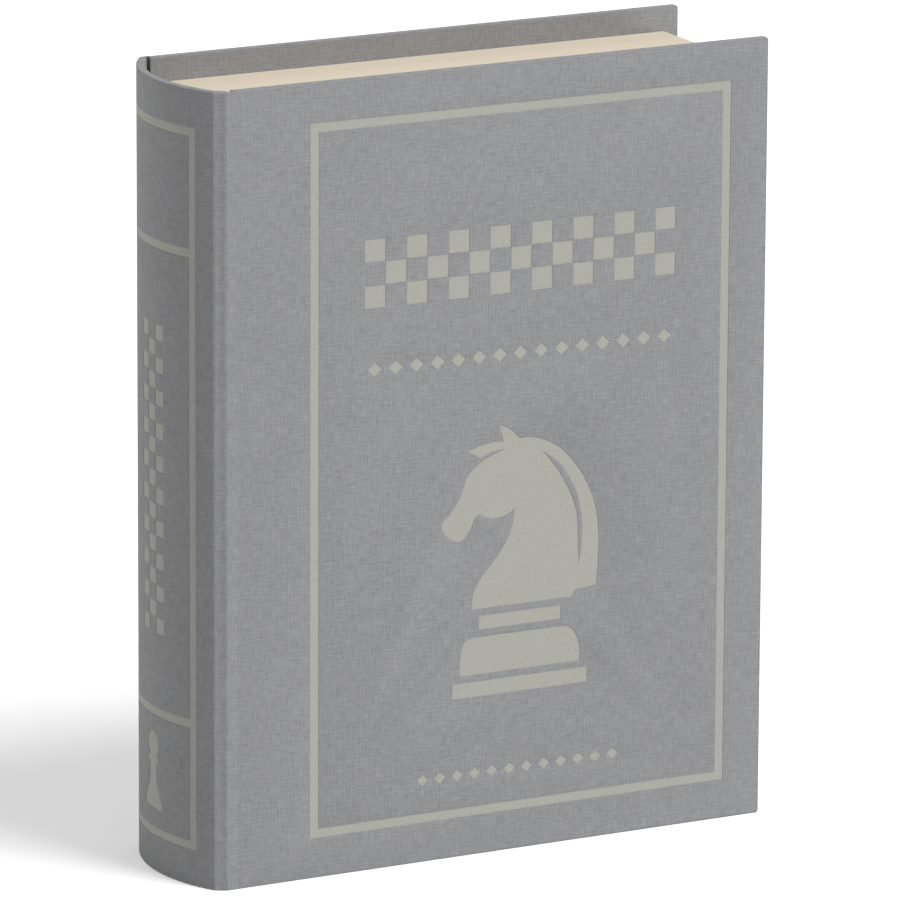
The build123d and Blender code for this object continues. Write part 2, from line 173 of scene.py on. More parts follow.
cover_low, cover_high = box_of("front_cover_cloth")
board_left = box_of("front_cover_board")[0].x
skin_left = board_left + STRIP_ON_BOARD
turn_in_edge = box_of("front_lining_paper")[0].z - PAPER_MARGIN


def quarter_round(radius, steps):
    """(inset, depth) points round an outer edge, from its face to its side."""
    angles = [pi / 2 * i / steps for i in range(steps + 1)]
    return [(radius * (1 - sin(a)), radius * (1 - cos(a))) for a in angles]


def cover_outline(inset, left=skin_left):
    """Points along three edges of a cover, from the joint at the head to the joint at the tail."""
    right = cover_high.x - inset
    top = cover_high.z - inset
    bottom = cover_low.z + inset
    radius = max(COVER_CORNER - inset, SHARPEST_CORNER)
    points = [(left, top)]
    for centre_v, start in ((top - radius, pi / 2), (bottom + radius, 0)):
        for i in range(CORNER_STEPS + 1):
            angle = start - pi / 2 * i / CORNER_STEPS
            points.append((right - radius + radius * cos(angle), centre_v + radius * sin(angle)))
    points.append((left, bottom))
    return points


def add_strip(work, rows):
    """Faces between rows of points, each row as long as the others."""
    made = [[work.verts.new(point) for point in row] for row in rows]
    for row, following in zip(made, made[1:]):
        for i in range(len(row) - 1):
            work.faces.new((row[i], row[i + 1], following[i + 1], following[i]))


def part_faces(work, point, normal):
    """Parts the faces of a mesh along a plane."""
    everything = work.verts[:] + work.edges[:] + work.faces[:]
    bmesh.ops.bisect_plane(work, geom=everything, plane_co=point, plane_no=normal)


def close_up(work, distance):
    """Joins points that meet, closes the open ends and turns all faces outwards."""
    bmesh.ops.remove_doubles(work, verts=work.verts, dist=distance)
    bmesh.ops.holes_fill(work, edges=work.edges)
    bmesh.ops.recalc_face_normals(work, faces=work.faces)


def flat_sheet(outlines, edge_round, height=0.0, thickness=0.0, cuts=()):
    """A sheet in u and v from closed outlines, where inner outlines are holes. Its upper
    face lies at height, and cuts are u values at which its faces are parted."""
    half = max(edge_round, thickness / 2)
    curve = bpy.data.curves.new("outline", "CURVE")
    curve.dimensions = "2D"
    curve.fill_mode = "BOTH"
    curve.extrude = half - edge_round
    curve.bevel_depth = edge_round
    curve.bevel_resolution = 2
    for outline in outlines:
        spline = curve.splines.new("POLY")
        spline.points.add(len(outline) - 1)
        for point, (u, v) in zip(spline.points, outline):
            point.co = (u, v, 0, 1)
        spline.use_cyclic_u = True
    holder = bpy.data.objects.new("outline", curve)
    mesh = bpy.data.meshes.new_from_object(holder)
    work = bmesh.new()
    work.from_mesh(mesh)
    bpy.data.objects.remove(holder)
    bpy.data.curves.remove(curve)
    bpy.data.meshes.remove(mesh)
    bmesh.ops.remove_doubles(work, verts=work.verts, dist=1e-5)
    bmesh.ops.translate(work, verts=work.verts, vec=(0, 0, height - half))
    for u in cuts:
        part_faces(work, (u, 0, 0), (1, 0, 0))
    return work


def add_object(name, data):
    holder = bpy.data.objects.new(name, data)
    bpy.context.scene.collection.objects.link(holder)
    return holder


def make_piece(name, work, body, materials, place=None, replaces=(), sharp=20):
    """Makes an object of a mesh in mm, and lets it ride on a body. With a place, the mesh is
    in u, v and height, and keeps u and v as its flat coordinates."""
    for layer in work.loops.layers.uv.values():
        work.loops.layers.uv.remove(layer)
    if place:
        flat_map = work.loops.layers.uv.new("flat")
        for face in work.faces:
            for loop in face.loops:
                loop[flat_map].uv = loop.vert.co.xy
        for vertex in work.verts:
            vertex.co = place(*vertex.co)
    work.normal_update()
    mesh = bpy.data.meshes.new(name)
    work.to_mesh(mesh)
    work.free()
    mesh.transform(Matrix.Scale(MM, 4))
    mesh.shade_smooth()
    mesh.set_sharp_from_angle(angle=radians(sharp))
    for material in materials:
        mesh.materials.append(material)
    piece = add_object(name, mesh)
    if body:
        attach(piece, body)
    if replaces:
        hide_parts(*replaces)
    return piece


def make_cloth(name, work, body, place, replaces=(), sharp=20):
    """Makes a piece of the grey linen."""
    return make_piece(name, work, body, [grey_linen], place, replaces, sharp)


def on_front(u, v, height):
    return (u, cover_low.y - height, v)


def on_back(u, v, height):
    return (u, height - cover_low.y, v)


def cover_skin():
    """Cloth over the rounded edge, along the side and over the turn-in, with its cut edge,
    and folded over the board's end beside the joint."""
    thickness = cover_high.y - cover_low.y
    section = quarter_round(EDGE_ROUND, EDGE_STEPS)
    section += [(inset, thickness - depth) for inset, depth in reversed(section)]
    section += [(turn_in_edge, thickness), (turn_in_edge, thickness - CLOTH)]
    work = bmesh.new()
    rows = []
    for inset, depth in section:
        left = skin_left if depth < CLOTH else board_left - BOARD_END_CLOTH
        rows.append([(u, v, -depth) for u, v in cover_outline(inset, left)])
    add_strip(work, rows)
    for end in (0, -1):
        folded = [row[end] for row in rows if row[end][2] < -CLOTH]
        folded.append((folded[-1][0], folded[-1][1], -CLOTH))
        folded.append((folded[0][0], folded[0][1], -CLOTH))
        work.faces.new([work.verts.new(point) for point in folded])
    return work


def mitred_corners():
    """The turn-ins of head and tail, which lie over that of the fore-edge as far as a mitre."""
    thickness = cover_high.y - cover_low.y
    left = board_left - BOARD_END_CLOTH
    outer_right = cover_high.x - EDGE_ROUND - MITRE_LAP - MITRE_SHIFT
    inner_right = cover_high.x - turn_in_edge - MITRE_SHIFT
    flaps = []
    for edge, inwards in ((cover_high.z, -1), (cover_low.z, 1)):
        outer = edge + inwards * (EDGE_ROUND + MITRE_LAP)
        inner = edge + inwards * turn_in_edge
        flaps.append([(left, outer), (outer_right, outer), (inner_right, inner), (left, inner)])
    return flat_sheet(flaps, MITRE_LAP / 2, MITRE_SINK - thickness, MITRE_LAP + MITRE_SINK)


def dress(material, *nodes):
    """Gives CAD nodes a material in place of their plain one."""
    for node in nodes:
        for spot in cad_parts[node].material_slots:
            spot.material = material


def fibre_paper(name, dark, pale, roughness, fibre=1.2):
    """Paper or board of short fibres, which give it small soft flecks and a dull surface."""
    paper = new_material(name)
    place = add_node(paper, "TexCoord", {})
    flat = add_node(paper, "Mapping", {"Vector": (place, "Object"), "Scale": (1 / MM,) * 3})
    fibres = {"Vector": flat, "Scale": 1 / fibre, "Detail": 4.0, "Distortion": 0.6}
    flecks = add_node(paper, "TexNoise", fibres)
    clouds = {"Vector": flat, "Scale": 1 / PAPER_CLOUD, "Detail": 2.0}
    clouds = add_node(paper, "TexNoise", clouds)
    both = {0: clouds, 1: 0.6, 2: flecks}
    both = add_node(paper, "Math", both, operation="MULTIPLY_ADD")
    tone = add_node(paper, "MapRange", {"Value": both, "From Min": 0.6, "From Max": 1.0})
    uncoated = {"Roughness": roughness, "Specular IOR Level": 0.3}
    finish_in_two_tones(paper, tone, dark, pale, flecks, uncoated, strength=0.25, depth=0.1)
    return paper


make_cloth("front_cover_wrap", cover_skin(), "front_cover", on_front, ["front_cover_cloth"])
make_cloth("front_cover_mitres", mitred_corners(), "front_cover", on_front)

# Grey pulp board, pressed from waste paper, shows coarse flecks at its bare edges.
pulp_board = fibre_paper("grey_pulp_board", "7B7974", "98958E", 0.9, fibre=2.0)
# Lining paper is uncoated and dyed through, so it's matt, with faint clouds.
sage_paper = fibre_paper("sage_lining_paper", "878C80", "949A8D", 0.8)

# Steel under bright nickel is smooth and mirrors softly, with a faint haze from rolling.
nickel_plate = new_material("nickel_plated_steel")
place = add_node(nickel_plate, "TexCoord", {})
streaks = (1 / (ROLLED_WIDTH * MM), 1 / (ROLLED_WIDTH * MM), 1 / (ROLLED_LENGTH * MM))
rolled = add_node(nickel_plate, "Mapping", {"Vector": (place, "Object"), "Scale": streaks})
haze = add_node(nickel_plate, "TexNoise", {"Vector": rolled, "Scale": 1.0, "Detail": 3.0})
gloss = add_node(nickel_plate, "MapRange", {"Value": haze, "To Min": 0.22, "To Max": 0.42})
surface = {"Base Color": linear("B9B7B0"), "Metallic": 1.0, "Roughness": gloss}
shader = add_node(nickel_plate, "BsdfPrincipled", surface)
add_node(nickel_plate, "OutputMaterial", {"Surface": shader})

dress(pulp_board, "front_cover_board")
dress(sage_paper, "front_lining_paper")
dress(nickel_plate, "cover_plates")


# Print on the front cover. Matt ink in a pale sage is stamped into the cloth, so its
# figures lie a little deep, with soft edges, and the weave stays faint in them. A frame,
# a chequered band, a row of lozenges, a knight and a small lozenge rule.
FRAME_LEFT = -67.6
FRAME_RIGHT = 96.3
FRAME_BOTTOM = 14.2
FRAME_TOP = 266.2
FRAME_LINE = 3.4
PRINT_MIDDLE = 14.0
BAND_WIDTH = 121.5
BAND_BOTTOM = 199.5
BAND_ROWS = 3
BAND_COLUMNS = 15
LOZENGE_ROW_Z = 178.0
FOOT_ROW_Z = 29.5
FOOT_ROW_WIDTH = 82.0
FOOT_ROW_COUNT = 12
LOZENGE_SHARE = 0.36  # half a lozenge's width, of its pitch
INK_DEPTH = 1.6 * STAMP_EDGE
INK_GRAIN = 10 / 11

sage_ink = new_material("sage_stamping_ink")
place = add_node(sage_ink, "TexCoord", {})
grain = add_node(sage_ink, "TexNoise", {"Vector": (place, "UV"), "Scale": 1 / INK_GRAIN, "Detail": 3.0})
spots = add_node(sage_ink, "MapRange", {"Value": grain, "From Min": 0.3, "From Max": 0.7})
matt = {"Roughness": 0.7}
finish_in_two_tones(sage_ink, spots, "A6A69E", "B0B0A7", grain, matt, strength=0.2, depth=0.1)


def rectangle(left, bottom, right, top):
    return [(left, bottom), (right, bottom), (right, top), (left, top)]


def line_frame(left, bottom, right, top, line):
    """The outer and inner outline of a frame of one line."""
    inner = rectangle(left + line, bottom + line, right - line, top - line)
    return [rectangle(left, bottom, right, top), inner]


def lozenge(u, v, half_width, half_height):
    return [(u - half_width, v), (u, v - half_height), (u + half_width, v), (u, v + half_height)]


def lozenge_row(middle_u, v, width, count, half_height):
    pitch = width / count
    starts = middle_u - width / 2 + pitch / 2
    half_width = LOZENGE_SHARE * pitch
    return [lozenge(starts + i * pitch, v, half_width, half_height) for i in range(count)]


def chequers(left, bottom, columns, rows, square, gap=0.05):
    """Every other square of a band, each a hair smaller so that corners stay apart."""
    return [
        rectangle(
            left + i * square + gap, bottom + j * square + gap,
            left + (i + 1) * square - gap, bottom + (j + 1) * square - gap,
        )
        for i in range(columns)
        for j in range(rows)
        if (i + j) % 2 == 0
    ]  # fmt: skip


def soft_outline(points, steps=7):
    """A closed outline through points. A point with a third item keeps a sharp corner."""
    outline = []
    count = len(points)
    for i in range(count):
        before, start, end, after = [points[(i + k) % count] for k in (-1, 0, 1, 2)]
        start_is_corner = len(start) > 2
        end_is_corner = len(end) > 2
        for k in range(steps):
            t = k / steps
            if t and start_is_corner and end_is_corner:
                break
            spot = []
            for a in (0, 1):
                step = end[a] - start[a]
                leaving = step if start_is_corner else (end[a] - before[a]) / 2
                arriving = step if end_is_corner else (after[a] - start[a]) / 2
                spot.append(
                    (2 * t**3 - 3 * t**2 + 1) * start[a] + (t**3 - 2 * t**2 + t) * leaving
                    + (3 * t**2 - 2 * t**3) * end[a] + (t**3 - t**2) * arriving
                )  # fmt: skip
            outline.append(tuple(spot))
    return outline


# The knight: a horse's head over a turned foot, in the bold flat style of a diagram. Bare
# lines of cloth part the forelock and the mane from the head.
KNIGHT_LEFT = -16.5
KNIGHT_WIDTH = 62.0
HEAD_BOTTOM = 89.0
HEAD_HEIGHT = 64.5


def head_point(across, up, *corner):
    return (KNIGHT_LEFT + across * KNIGHT_WIDTH, HEAD_BOTTOM + up * HEAD_HEIGHT, *corner)


horse_head = soft_outline([head_point(*point) for point in (
    (0.19, -0.01, 1), (0.20, 0.08), (0.25, 0.165), (0.34, 0.26), (0.415, 0.36), (0.45, 0.45),
    (0.46, 0.525, 1), (0.415, 0.495), (0.355, 0.482), (0.29, 0.487), (0.235, 0.515, 1), (0.205, 0.49),
    (0.18, 0.435), (0.13, 0.38), (0.07, 0.385), (0.01, 0.435), (0.0, 0.49), (0.05, 0.535), (0.10, 0.60),
    (0.13, 0.66), (0.155, 0.725), (0.225, 0.79), (0.305, 0.83), (0.385, 0.857, 1), (0.31, 0.848),
    (0.245, 0.822, 1), (0.155, 0.87, 1), (0.23, 0.893), (0.31, 0.905), (0.385, 0.905, 1),
    (0.36, 1.0, 1), (0.43, 0.965), (0.49, 0.91, 1), (0.56, 0.91), (0.66, 0.88), (0.765, 0.815),
    (0.87, 0.70), (0.94, 0.58), (0.98, 0.465), (0.997, 0.34), (0.997, 0.20), (0.985, 0.04, 1),
    (0.85, 0.025, 1), (0.832, -0.01, 1),
)])  # fmt: skip
mane_line = soft_outline([head_point(*point) for point in (
    (0.645, 0.815, 1), (0.74, 0.745), (0.815, 0.645), (0.865, 0.535), (0.887, 0.42), (0.89, 0.305),
    (0.873, 0.183, 1), (0.866, 0.285), (0.865, 0.39), (0.847, 0.495), (0.802, 0.597), (0.734, 0.71),
)])  # fmt: skip
foot = [
    rectangle(-1.9, 80.9, 30.5, 86.0),
    soft_outline([
        (-9.3, 64.9, 1), (38.2, 64.9, 1), (38.0, 71.0), (35.2, 76.9), (31.0, 78.5, 1),
        (-3.8, 78.5, 1), (-7.6, 76.9), (-9.1, 71.0),
    ]),
    rectangle(-12.2, 56.9, 41.1, 62.6),
]  # fmt: skip

front_figures = line_frame(FRAME_LEFT, FRAME_BOTTOM, FRAME_RIGHT, FRAME_TOP, FRAME_LINE)
band_left = PRINT_MIDDLE - BAND_WIDTH / 2
front_figures += chequers(band_left, BAND_BOTTOM, BAND_COLUMNS, BAND_ROWS, BAND_WIDTH / BAND_COLUMNS)
front_figures += lozenge_row(PRINT_MIDDLE, LOZENGE_ROW_Z, BAND_WIDTH, BAND_COLUMNS, 2.7)
front_figures += [horse_head, mane_line, *foot]
front_figures += lozenge_row(PRINT_MIDDLE, FOOT_ROW_Z, FOOT_ROW_WIDTH, FOOT_ROW_COUNT, 2.2)

cover_face = cover_outline(EDGE_ROUND + STAMP_EDGE)
face = flat_sheet([cover_face, *front_figures], STAMP_EDGE)
make_cloth("front_cover_face", face, "front_cover", on_front)
printed = flat_sheet(front_figures, 0.0, height=-INK_DEPTH)
make_piece("front_cover_print", printed, "front_cover", [sage_ink], on_front)


# Back cover. The same board, cloth and lining as the front cover, mirrored front to back.
# Its face has no print, and it rides on the case.
make_cloth("back_cover_wrap", cover_skin(), "case", on_back, ["back_cover_cloth"])
make_cloth("back_cover_mitres", mitred_corners(), "case", on_back)
make_cloth("back_cover_face", flat_sheet([cover_face], STAMP_EDGE), "case", on_back)
dress(pulp_board, "back_cover_board")
dress(sage_paper, "back_lining_paper")


# Spine. A curved board in the same cloth, turned in at head and tail, with rounded
# shoulders that pass into the joints. The cloth is lofted along the round back, with a
# parallel curve for each depth, and is pressed into a shallow groove beside each shoulder.
spine_low, spine_high = box_of("spine_cloth")
SPINE_RADIUS = 60.0
SPINE_LEAN = 2.0  # centre of the round back, towards the front cover
SHOULDER_DROP = 2.2
SHOULDER_WIDTH = 3.9
SHOULDER_RADIUS = 1.8
JOINT_RADIUS = 2.0
SPINE_TURN_IN_DEPTH = 2.8
SPINE_SAMPLES = 120
ROUND_STEPS = 6
FLANK = SPINE_SAMPLES + ROUND_STEPS  # the point of a curve where the shoulder's flank begins
FLANK_STEPS = 8
STRIP_LAP = 0.6  # how far the joint strips reach over the cloth of the spine
BOARD_PAST_CORNER = 0.3
HAIR = 0.01
SHORTEST_STEP = 0.05
PRINT_REACH = 29.0  # half the width of the sheet that carries the spine's print
PRINT_STEP = 1.45
SHOULDER_GROOVE = 0.15
GROOVE_SPREAD = 0.3
GROOVE_FADE = 3.0
half_thickness = spine_high.y
spine_centre = Vector((spine_low.x + SPINE_RADIUS, -SPINE_LEAN))
shoulder_y = half_thickness - SHOULDER_DROP
front_shoulder_x = spine_centre.x - sqrt(SPINE_RADIUS**2 - (shoulder_y - SPINE_LEAN) ** 2)
back_shoulder_x = spine_centre.x - sqrt(SPINE_RADIUS**2 - (shoulder_y + SPINE_LEAN) ** 2)
spine_corner_x = front_shoulder_x + SHOULDER_WIDTH
strip_start_x = spine_high.x - STRIP_LAP
spine_paths = {}


def rounded_corner(corner, before, after, radius):
    """Points of an arc that rounds the corner between two directions."""
    turn = before.angle_signed(after)
    reach = radius * tan(abs(turn) / 2)
    centre = corner - reach * before + radius * Vector((before.y, -before.x)) * copysign(1, turn)
    spoke = corner - reach * before - centre
    return [centre + Matrix.Rotation(-turn * i / ROUND_STEPS, 2) @ spoke for i in range(ROUND_STEPS + 1)]


def spine_path(depth, side):
    """The curve of the round back at a depth, from the crown over one shoulder to the joint.
    The side is -1 for the front and 1 for the back."""
    if (depth, side) in spine_paths:
        return spine_paths[depth, side]
    shoulder_x = front_shoulder_x if side < 0 else back_shoulder_x
    shoulder = Vector((shoulder_x, side * shoulder_y))
    joint = Vector((spine_corner_x, side * half_thickness))
    flank = (joint - shoulder).normalized()
    inward = Vector((flank.y, -flank.x)) * side
    start = shoulder + depth * inward
    radius = SPINE_RADIUS - depth
    # the flank's line meets the round back, and then the face of the joint
    off = start - spine_centre
    along = -off.dot(flank) - sqrt(off.dot(flank) ** 2 - off.length_squared + radius**2)
    meeting = start + along * flank
    spoke = (meeting - spine_centre) / radius
    leaving = Vector((-spoke.y, spoke.x)) * side * -1
    face_y = side * (half_thickness - depth)
    corner = meeting + (face_y - meeting.y) / flank.y * flank
    arc_radius = max(SHOULDER_RADIUS - depth, CLOTH)
    over_shoulder = rounded_corner(meeting, leaving, flank, arc_radius)
    into_joint = rounded_corner(corner, flank, Vector((1, 0)), max(JOINT_RADIUS - depth, CLOTH))
    off = over_shoulder[0] - spine_centre
    touch = abs(atan2(off.y, -off.x))
    points = []
    for i in range(SPINE_SAMPLES):
        angle = touch * i / SPINE_SAMPLES
        points.append(spine_centre + radius * Vector((-cos(angle), side * sin(angle))))
    end_x = strip_start_x if depth <= CLOTH + HAIR else spine_corner_x + BOARD_PAST_CORNER
    points += over_shoulder + into_joint + [Vector((max(end_x, into_joint[-1].x + HAIR), face_y))]
    spine_paths[depth, side] = points
    return points


spine_runs = {}
for side in (-1, 1):
    run = [0.0]
    outer = spine_path(0.0, side)
    for a, b in zip(outer, outer[1:]):
        run.append(run[-1] + (b - a).length)
    spine_runs[side] = run


def on_spine(u, v, height):
    """u runs round the outer face from the crown, towards the back cover where positive."""
    side = 1 if u > 0 else -1
    run = spine_runs[side]
    points = spine_path(round(max(-height, 0.0), 4), side)
    i = 0
    while i < len(run) - 2 and run[i + 1] < abs(u):
        i += 1
    share = (abs(u) - run[i]) / (run[i + 1] - run[i])
    x, y = points[i].lerp(points[i + 1], share)
    return (x, y, v)


def shoulder_groove(u):
    """How deep the cloth is pressed in beside a shoulder."""
    run = spine_runs[1 if u > 0 else -1]
    middle = (run[FLANK] + run[FLANK + 1]) / 2
    half_width = (run[FLANK + 1] - run[FLANK]) / 2 + GROOVE_SPREAD
    off = (abs(u) - middle) / half_width
    return SHOULDER_GROOVE * cos(off * pi / 2) ** 2 if abs(off) < 1 else 0.0


sheet_steps = [-PRINT_REACH + PRINT_STEP * i for i in range(int(2 * PRINT_REACH / PRINT_STEP) + 1)]
flanks = {}
for side in (-1, 1):
    run = spine_runs[side]
    stations = [PRINT_REACH] + [r for r in run if r > PRINT_REACH + SHORTEST_STEP]
    flank = run[FLANK + 1] - run[FLANK]
    stations += [run[FLANK] + flank * i / FLANK_STEPS for i in range(1, FLANK_STEPS)]
    flanks[side] = [side * r for r in sorted(stations)]
around = sorted(set(round(u, 5) for u in flanks[-1] + sheet_steps + flanks[1]))

edge = quarter_round(EDGE_ROUND, EDGE_STEPS)
rows = [(turn_in_edge, SPINE_TURN_IN_DEPTH - CLOTH), (turn_in_edge, SPINE_TURN_IN_DEPTH)]
rows += [(inset, SPINE_TURN_IN_DEPTH - depth) for inset, depth in edge]
rows += [(inset, depth) for inset, depth in reversed(edge)]
wrap = bmesh.new()
for tail in (True, False):
    lofted = []
    for inset, depth in rows:
        v = inset if tail else spine_high.z - inset
        lofted.append([(u, v, -depth) for u in around])
    add_strip(wrap, lofted)
for reach in flanks.values():
    lofted = []
    for v, pressed in (
        (EDGE_ROUND, 0.0), (GROOVE_FADE, 1.0),
        (spine_high.z - GROOVE_FADE, 1.0), (spine_high.z - EDGE_ROUND, 0.0),
    ):  # fmt: skip
        lofted.append([(u, v, -round(pressed * shoulder_groove(u), 2)) for u in reach])
    add_strip(wrap, lofted)
bmesh.ops.recalc_face_normals(wrap, faces=wrap.faces)
make_cloth("spine_wrap", wrap, "case", on_spine, ["spine_cloth"], sharp=40)
dress(pulp_board, "spine_board")
dress(sage_paper, "spine_lining_paper")


# Print on the spine. The same ink: a frame parted by two cross lines, a chequered band up
# the middle field and a pawn in the foot field. The head field is bare.
SPINE_PRINT_MIDDLE = 3.0
SPINE_FRAME_HALF = 24.2
SPINE_LINE = 3.2
SPINE_LINE_HEIGHTS = (14.4, 57.6, 222.9, 265.0)
SPINE_SQUARE = 5.76
SPINE_BAND_FOOT = 85.5
SPINE_BAND_COLUMNS = 3
SPINE_BAND_ROWS = 19
half_line = SPINE_LINE / 2
left = SPINE_PRINT_MIDDLE - SPINE_FRAME_HALF
right = SPINE_PRINT_MIDDLE + SPINE_FRAME_HALF
foot, head = SPINE_LINE_HEIGHTS[0], SPINE_LINE_HEIGHTS[-1]
spine_figures = [rectangle(left - half_line, foot - half_line, right + half_line, head + half_line)]
for low, high in zip(SPINE_LINE_HEIGHTS, SPINE_LINE_HEIGHTS[1:]):
    spine_figures.append(rectangle(left + half_line, low + half_line, right - half_line, high - half_line))
band_left = SPINE_PRINT_MIDDLE - SPINE_BAND_COLUMNS / 2 * SPINE_SQUARE
spine_figures += chequers(band_left, SPINE_BAND_FOOT, SPINE_BAND_COLUMNS, SPINE_BAND_ROWS, SPINE_SQUARE)
pawn_right = [
    (7.0, 22.4, 1), (7.0, 24.9, 1), (6.1, 26.2, 1), (3.3, 31.8), (2.4, 38.0, 1), (4.3, 39.3, 1),
    (4.3, 40.6, 1), (2.6, 41.4, 1), (4.6, 45.0), (3.4, 48.7), (0.0, 50.2),
]  # fmt: skip
pawn_left = [(-point[0], *point[1:]) for point in reversed(pawn_right[:-1])]
pawn_points = [(SPINE_PRINT_MIDDLE + point[0], *point[1:]) for point in pawn_right + pawn_left]
spine_figures.append(soft_outline(pawn_points))

ends = rectangle(-PRINT_REACH, EDGE_ROUND, PRINT_REACH, spine_high.z - EDGE_ROUND)
ends = [(u + copysign(-STAMP_EDGE, u), v + copysign(STAMP_EDGE, spine_high.z / 2 - v)) for u, v in ends]
face = flat_sheet([ends, *spine_figures], STAMP_EDGE, cuts=sheet_steps[1:-1])
make_cloth("spine_face", face, "case", on_spine)
printed = flat_sheet(spine_figures, 0.0, height=-INK_DEPTH, cuts=sheet_steps[1:-1])
make_piece("spine_print", printed, "case", [sage_ink], on_spine)


# Cloth joints. Between spine and boards the cloth has no board behind it, so that the
# covers can turn. It's turned in at head and tail.
STRIP_STEPS = 18
STRIP_END = 0.12
FOLDED_CLOTH = 0.85
JOINT_TURN_IN = 14.0
TURN_IN_SLOPE = 0.3


def joint_strip():
    """A strip of cloth, flat and closed all round, with its turn-ins laid double."""
    steps = [i / STRIP_STEPS for i in range(STRIP_STEPS + 1)]
    across = [strip_start_x + (skin_left - strip_start_x) * share for share in steps]
    work = bmesh.new()
    ends = [(STRIP_END, 0.0), (0.0, STRIP_END), (0.0, JOINT_TURN_IN)]
    rows = [(shrink, v, FOLDED_CLOTH) for shrink, v in ends]
    rows += [(0.0, JOINT_TURN_IN + TURN_IN_SLOPE, CLOTH)]
    rows += [(shrink, spine_high.z - v, thickness) for shrink, v, thickness in reversed(rows)]
    lofted = []
    for shrink, v, thickness in rows:
        ring = [(x, v, -shrink) for x in across] + [(x, v, shrink - thickness) for x in reversed(across)]
        lofted.append(ring + ring[:1])
    add_strip(work, lofted)
    close_up(work, 1e-5)
    return work


front_joint = make_cloth("front_joint_cloth", joint_strip(), None, on_front)
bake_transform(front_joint)  # fmt: skip
make_cloth("back_joint_cloth", joint_strip(), "case", on_back)


# Tray. Floor and walls are grey board wrapped in a dull charcoal paper with faint flecks.
# Round the three open sides it has a cream paper printed with fine lines, so that it looks
# like a block of pages, whose edges run along the covers.
PAGE_SPACING = 0.6  # real pages are 0.1 thick, drawn in bundles that show
PAGE_RUN = 400  # how far a printed line keeps its tone
charcoal_paper = fibre_paper("charcoal_tray_paper", "3B3C3F", "47484B", 0.75)
dress(charcoal_paper, "tray_floor", "head_wall", "tail_wall", "fore_edge_wall", "spine_side_wall")

page_paper = new_material("cream_page_edge_paper")
place = add_node(page_paper, "TexCoord", {})
line_scale = (1 / (PAGE_RUN * MM), 1 / (PAGE_SPACING * MM), 1 / (PAGE_RUN * MM))
lengthwise = add_node(page_paper, "Mapping", {"Vector": (place, "Object"), "Scale": line_scale})
pages = add_node(page_paper, "TexNoise", {"Vector": lengthwise, "Scale": 1.0, "Detail": 3.0})
contrast = add_node(page_paper, "MapRange", {"Value": pages, "From Min": 0.3, "From Max": 0.7})
finish_in_two_tones(page_paper, contrast, "E3D6C0", "ECDFCB", pages, matt, strength=0.15, depth=0.1)
dress(page_paper, "head_page_paper", "tail_page_paper", "fore_edge_page_paper")
dress(nickel_plate, "tray_magnets")


# Shelves. Three boards in the same charcoal paper, with raised ends that keep the folded
# board between them.
dress(charcoal_paper, "shelf_1", "shelf_2", "shelf_3")


# Racks and beds. The racks are cut from dark closed-cell foam, with a round notch for each
# man that closes a little past the middle and grips it by the waist. Softer foam lies
# behind the men.
ROWS = ("light_officer", "light_pawn", "dark_pawn", "dark_officer")
FILES = 8
OFFICER_WAIST = 5.6
PAWN_WAIST = 4.02
NOTCH_CLEARANCE = 0.4
MOUTH_PINCH = 0.4
NOTCH_STEPS = 20
FOAM_EDGE = 0.35
FOAM_CLOUD = 100 / 9


def closed_cell_foam(name, dark, pale, cell):
    """Closed-cell foam, whose cells make a fine pitted, dull surface."""
    foam = new_material(name)
    place = add_node(foam, "TexCoord", {})
    cells = {"Vector": (place, "Object"), "Scale": 1 / (cell * MM)}
    bubbles = add_node(foam, "TexVoronoi", cells, feature="F1")
    clouds = {"Vector": (place, "Object"), "Scale": 1 / (FOAM_CLOUD * MM), "Detail": 3.0}
    clouds = add_node(foam, "TexNoise", clouds)
    dull = {"Roughness": 0.9, "Sheen Weight": 0.1}
    finish_in_two_tones(foam, clouds, dark, pale, bubbles, dull, strength=0.5, depth=0.15)
    return foam


rack_foam = closed_cell_foam("dense_rack_foam", "2B2C2F", "37383B", 0.5)
bed_foam = closed_cell_foam("soft_bed_foam", "4A4B4E", "58595C", 0.9)

for row in ROWS:
    rack_low, rack_high = box_of(f"{row}_rack")
    waist = PAWN_WAIST if "pawn" in row else OFFICER_WAIST
    radius = waist + NOTCH_CLEARANCE
    mouth = asin((waist - MOUTH_PINCH) / radius)
    notch_y = rack_low.y + radius * cos(mouth)
    pitch = (rack_high.x - rack_low.x) / FILES
    outline = [(rack_low.x, rack_low.y)]
    for i in range(FILES):
        notch_x = rack_low.x + (i + 0.5) * pitch
        for k in range(NOTCH_STEPS + 1):
            angle = mouth + (2 * pi - 2 * mouth) * k / NOTCH_STEPS
            outline.append((notch_x - radius * sin(angle), notch_y - radius * cos(angle)))
    outline += [(rack_high.x, rack_low.y), (rack_high.x, rack_high.y), (rack_low.x, rack_high.y)]
    thickness = rack_high.z - rack_low.z
    rack = flat_sheet([outline], FOAM_EDGE, rack_high.z, thickness)
    for vertex in rack.verts:
        vertex.co.x = min(max(vertex.co.x, rack_low.x), rack_high.x)
        vertex.co.y = min(max(vertex.co.y, rack_low.y), rack_high.y)
    replaced = [f"{row}_rack"]
    make_piece(f"{row}_notched_rack", rack, "case", [rack_foam], None, replaced, sharp=40)
    dress(bed_foam, f"{row}_bed")


